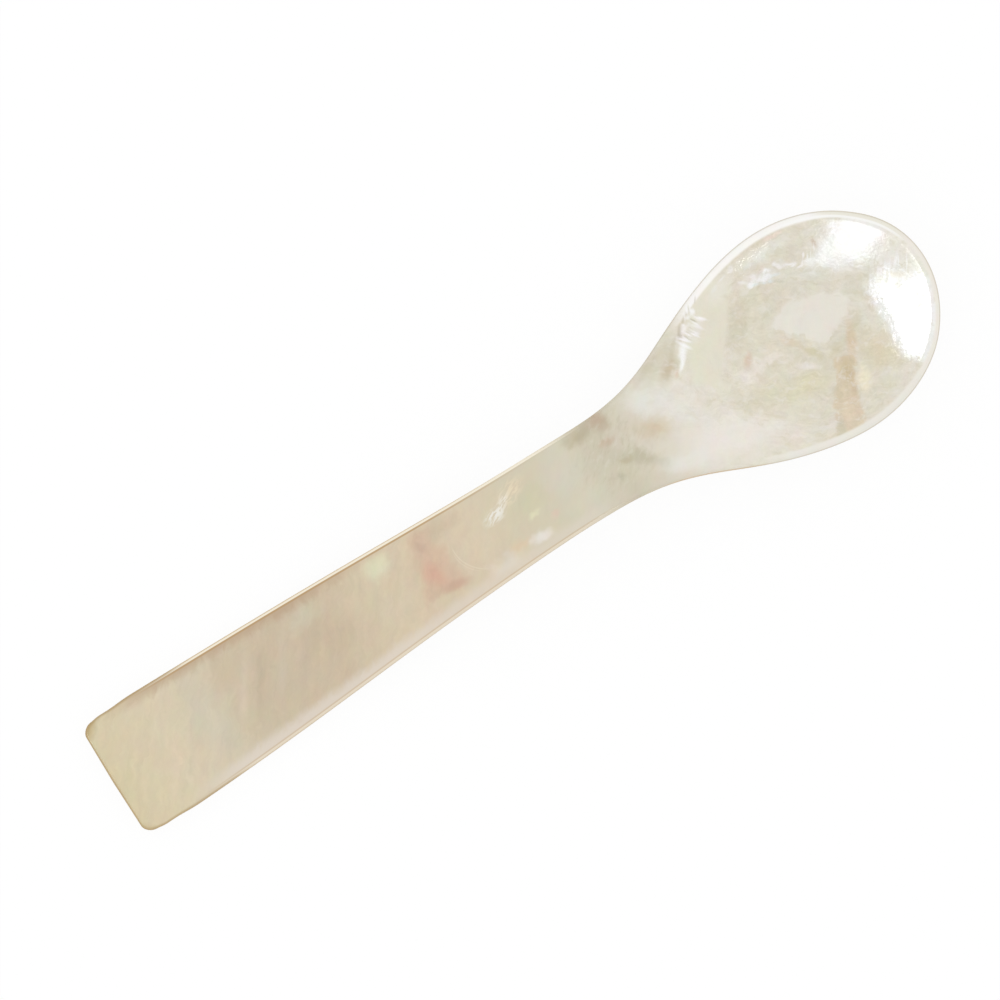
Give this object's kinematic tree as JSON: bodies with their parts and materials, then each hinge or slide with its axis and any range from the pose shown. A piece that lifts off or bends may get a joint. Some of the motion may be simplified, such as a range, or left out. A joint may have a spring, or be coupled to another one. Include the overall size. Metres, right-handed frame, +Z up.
{
  "type": "spoon",
  "caption": "Mother-of-pearl spoon carved from solid shell, with a flat tapered handle cut square at the end, a narrow neck and a shallow egg-shaped bowl with a thin rim.",
  "frame": {"origin": "on the surface the spoon lies on, under the middle of its length and width", "axes": "+X from the end of the handle to the tip of the bowl, +Y to the left of that as seen from above, +Z up, with the hollow of the bowl facing up"},
  "size_m": [0.12, 0.0282, 0.0077],
  "materials": {
    "nacre": "gloss"
  },
  "bodies": {
    "root": {"spoon": "nacre"}
  },
  "joints": []
}
